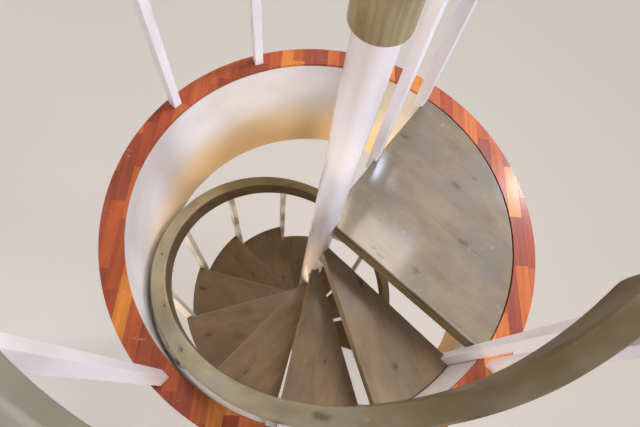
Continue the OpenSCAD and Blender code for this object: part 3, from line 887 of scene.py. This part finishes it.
def make_rim():
    """The floor's edge round the well: blocks in staggered rows, cut to the circle."""
    seed = random.Random(5)
    along = Vector((cos(radians(BLOCK_TURN)), sin(radians(BLOCK_TURN)), 0))
    across = Vector((-along.y, along.x, 0))
    outer = WELL_RADIUS + LINING
    release()
    bpy.ops.mesh.primitive_circle_add(vertices=180, radius=outer, location=(0, 0, FLOOR - RIM_THICKNESS / 2))
    ring = bpy.context.object
    settle(ring)
    open_up(ring)
    bpy.ops.mesh.select_all(action="SELECT")
    bpy.ops.mesh.extrude_edges_move()
    bpy.ops.transform.resize(value=(WELL_RADIUS / outer, WELL_RADIUS / outer, 1),
                             center_override=(0, 0, FLOOR - RIM_THICKNESS / 2))
    close_up(ring)
    modify(ring, "SOLIDIFY", thickness=RIM_THICKNESS, offset=0)
    blocks = []
    rows = int(2 * outer / BLOCK_WIDTH) + 1
    for row in range(rows):
        low = -outer + row * BLOCK_WIDTH + BLOCK_SHIFT
        start = -outer - seed.random() * BLOCK_LENGTH
        strip = twin(ring, "row")
        open_up(strip)
        cut_between(across, low, low + BLOCK_WIDTH)
        close_up(strip)
        while start < outer and len(strip.data.vertices):
            end = start + BLOCK_LENGTH * (0.8 + 0.4 * seed.random())
            reach = [v.co.dot(along) for v in strip.data.vertices]
            if any(start < value < end for value in reach) or (min(reach) < start and max(reach) > end):
                block = twin(strip, "block")
                open_up(block)
                cut_between(along, start, end)
                close_up(block)
                if len(block.data.polygons) > 4:
                    eased(block, 0.0006, 1, 30)
                    middle = sum((v.co for v in block.data.vertices), Vector()) / len(block.data.vertices)
                    # Painted light: a block's place in the colour list, which mostly grows lighter along its
                    # length, is partly random and partly higher towards one side
                    painted_light = 0.5 + 0.5 * middle.normalized().dot(PAINTED_LIGHT_SIDE)
                    shade = min(0.99, (1 - PAINTED_LIGHT_SHARE) * seed.random() + PAINTED_LIGHT_SHARE * painted_light)
                    mark(block, lambda co: (co.dot(along), co.dot(across), co.z - FLOOR), shade)
                    blocks.append(block)
                else:
                    bpy.data.objects.remove(block)
            start = end
        bpy.data.objects.remove(strip)
    bpy.data.objects.remove(ring)
    rim = joined(blocks, "floor_edge_blocks")
    install(rim, FLOOR_BLOCKS, "floor_wood", "floor_rim")


# Fasteners
BOLT_RADIUS = 0.120
WASHER_RADIUS = 0.012
WASHER_THICKNESS = 0.0025
NUT_WIDTH = 0.019
NUT_HEIGHT = 0.010
STUD_RADIUS = 0.006
STUD_LENGTH = 0.040
STUD_FOOT = 0.002
BRACKET_TURN = 14.2
BRACKET_FLANGE = 0.006
BRACKET_SCREWS = ((0.10, 0.013), (0.24, -0.013), (0.38, 0.013))
BRACKET_SCREW_WIDTH = 0.010
BRACKET_SCREW_HEIGHT = 0.005
BALUSTER_SCREW_RADIUS = 0.0045
BALUSTER_SCREW_DEPTHS = (0.018, 0.054)


def hex_head(name, width, height, place, down=False):
    """A six-sided head, chamfered on its free face, which is the lower one where it hangs down."""
    release()
    bpy.ops.mesh.primitive_cylinder_add(vertices=6, radius=width / sqrt(3), depth=height, location=place)
    head = bpy.context.object
    settle(head)
    open_up(head)
    side = -1 if down else 1
    pick(head, "faces", lambda f: f.normal.z * side > 0.9)
    bpy.ops.mesh.inset(thickness=width * 0.07)
    bpy.ops.transform.translate(value=(0, 0, side * height * 0.12))
    close_up(head, name)
    smooth(head, 25)
    return head


def make_anchor_bolts():
    bolts = []
    for i in range(4):
        turn = radians(45 + 90 * i)
        x, y = BOLT_RADIUS * cos(turn), BOLT_RADIUS * sin(turn)
        release()
        bpy.ops.mesh.primitive_cylinder_add(vertices=32, radius=WASHER_RADIUS, depth=WASHER_THICKNESS,
                                            location=(x, y, PLATE_THICKNESS + WASHER_THICKNESS / 2))
        washer = bpy.context.object
        settle(washer)
        eased(washer, 0.0004, 1)
        nut = hex_head("nut", NUT_WIDTH, NUT_HEIGHT,
                       (x, y, PLATE_THICKNESS + WASHER_THICKNESS + NUT_HEIGHT / 2))
        release()
        bpy.ops.mesh.primitive_cylinder_add(vertices=24, radius=STUD_RADIUS, depth=STUD_LENGTH,
                                            location=(x, y, STUD_FOOT + STUD_LENGTH / 2))
        stud = bpy.context.object
        settle(stud)
        eased(stud, 0.0012, 1)
        bolts += [washer, nut, stud]
    install(joined(bolts, "anchor_bolts"), FASTENER_ZINC, "white_steel")


def make_baluster_screws():
    """Two round heads, painted over, on the front of each baluster, where it is screwed to its tread."""
    screws = []
    front = -FRONT_OFFSET - SEAT - POST_WIDTH
    for k in range(TREADS + 1):
        for level in BALUSTER_SCREW_DEPTHS:
            release()
            bpy.ops.mesh.primitive_uv_sphere_add(segments=16, ring_count=8, radius=BALUSTER_SCREW_RADIUS)
            head = bpy.context.object
            head.scale = (1, 0.5, 1)
            head.location = (TREAD_RADIUS - POST_WIDTH / 2, front, FLOOR - RISER * k - level)
            settle(head)
            turned(head, -PITCH * k)
            smooth(head)
            screws.append(head)
    install(joined(screws, "baluster_screws"), POST_PAINT, "white_paint")


def make_bracket_screws():
    screws = []
    for k in range(1, TREADS + 1):
        turn = radians(-PITCH * k + BRACKET_TURN)
        level = FLOOR - RISER * k - TREAD_THICKNESS - BRACKET_FLANGE - BRACKET_SCREW_HEIGHT / 2
        for radius, side in BRACKET_SCREWS:
            x = radius * cos(turn) - side * sin(turn)
            y = radius * sin(turn) + side * cos(turn)
            screws.append(hex_head("screw", BRACKET_SCREW_WIDTH, BRACKET_SCREW_HEIGHT, (x, y, level),
                                   down=True))
    install(joined(screws, "bracket_screws"), FASTENER_ZINC, "white_steel")


# Studio

def looked_at(tree):
    """1 for what the camera sees straight, in gloss or through glass, and 0 for the light thrown back."""
    path = put(tree, "LightPath").outputs
    return calc(tree, "MAXIMUM", path["Is Camera Ray"],
                calc(tree, "MAXIMUM", path["Is Glossy Ray"], path["Is Transmission Ray"]))


def plain_surface(name, seen, cast):
    """Studio paper: pale to the camera and in gloss, warmer and dimmer in the light that it throws back."""
    material, tree, shader = finish(name, Roughness=0.9, Emission_Color=seen)
    direct = looked_at(tree)
    feed(tree, shader.inputs, Base_Color=blend(tree, direct, cast, seen),
         Emission_Strength=calc(tree, "MULTIPLY", direct, 0.45))
    return material


def make_stage():
    release()
    bpy.ops.mesh.primitive_plane_add(size=90, location=(0, 0, 0))
    floor = bpy.context.object
    floor.name = "studio_floor"
    paint(floor, plain_surface("studio_paper", tone(236, 232, 228), tone(196, 154, 112)))


def make_world():
    """Soft light from overhead that dims and warms towards the horizon, before an even pale backdrop."""
    world = bpy.data.worlds.new("studio")
    bpy.context.scene.world = world
    world.use_nodes = True
    tree = world.node_tree
    tree.nodes.clear()
    level = put(tree, "SeparateXYZ", {0: put(tree, "TexCoord").outputs["Generated"]}).outputs[2]
    colour = blend(tree, fade(tree, level, 0.2, 0.9), (1.0, 0.62, 0.34, 1), (1.0, 0.96, 0.92, 1))
    lit = put(tree, "Background", {"Color": colour, "Strength": fade(tree, level, 0.3, 0.95, 0.14, 0.26)})
    seen = put(tree, "Background", {"Color": tone(238, 236, 234), "Strength": 1.0})
    direct = looked_at(tree)
    mixed = put(tree, "MixShader", {0: direct, 1: lit.outputs[0], 2: seen.outputs[0]})
    put(tree, "OutputWorld", {"Surface": mixed.outputs[0]})


def soft_spot(name, place, aim, radius, cone, power, colour):
    """A soft lamp that lights only what lies in its cone, given in degrees."""
    data = bpy.data.lights.new(name, "SPOT")
    data.shadow_soft_size = radius
    data.spot_size = radians(cone)
    data.spot_blend = 0.6
    hang(data, place, aim, power, colour)


def soft_panel(name, place, aim, size, power, colour):
    data = bpy.data.lights.new(name, "AREA")
    data.size = size
    hang(data, place, aim, power, colour)


def hang(data, place, aim, power, colour):
    """Hangs a lamp at a place, turned towards its aim and itself unseen."""
    data.energy = power
    data.color = colour
    lamp = bpy.data.objects.new(data.name, data)
    lamp.location = place
    lamp.rotation_euler = (Vector(aim) - Vector(place)).to_track_quat("-Z", "Y").to_euler()
    lamp.visible_camera = False
    bpy.context.collection.objects.link(lamp)


def make_lights():
    soft_spot("high_back", (0.99, 3.65, 6.59), (0, -0.15, 3.35), 0.22, 36, 440, (0.76, 0.83, 1.0))
    soft_spot("high_left", (-0.63, 2.27, 6.59), (0, -0.15, 3.35), 0.20, 38, 110, (0.66, 0.75, 1.0))
    soft_spot("high_right", (3.95, 1.2, 4.85), (0, 0, 3.55), 0.6, 38, 520, (0.74, 0.80, 1.0))
    soft_spot("front", (1.6, -3.2, 4.3), (0, 0, 3.7), 0.8, 38, 345, (0.94, 0.92, 1.0))
    soft_spot("front_left", (-3.4, -1.6, 4.4), (0, 0, 3.5), 1.0, 36, 250, (0.96, 0.90, 0.90))
    soft_spot("low_front_right", (2.2, -2.6, 1.2), (-0.25, 0.3, 2.45), 0.6, 36, 520, (1.0, 0.84, 0.54))
    soft_spot("low_front_left", (-1.1, -2.9, 0.9), (0, 0, 2.6), 0.6, 22, 430, (1.0, 0.78, 0.52))
    soft_spot("low_back", (-2.6, 2.2, 2.0), (0, 0, 1.1), 0.6, 44, 110, (1.0, 0.90, 0.78))
    soft_panel("overhead", (-0.1, 1.0, 6.0), (0, 0, 2), 1.0, 64, (1.0, 0.93, 0.84))


def make_camera():
    data = bpy.data.cameras.new("photograph")
    data.lens = LENS
    data.sensor_width = 36
    data.sensor_fit = "HORIZONTAL"
    data.clip_start = 0.02
    camera = bpy.data.objects.new("photograph", data)
    camera.location = VIEWPOINT
    camera.rotation_euler = [radians(angle) for angle in VIEW_TURN]
    bpy.context.collection.objects.link(camera)
    bpy.context.scene.camera = camera


make_camera()
make_world()
make_lights()
make_stage()
make_treads()
make_landing()
make_stair_rail()
make_gallery_rail()
make_landing_rail()
make_column()
make_cap()
make_steelwork()
make_posts()
make_well()
make_rim()
make_anchor_bolts()
make_bracket_screws()
make_baluster_screws()
release()

bpy.context.scene.view_settings.view_transform = "Standard"
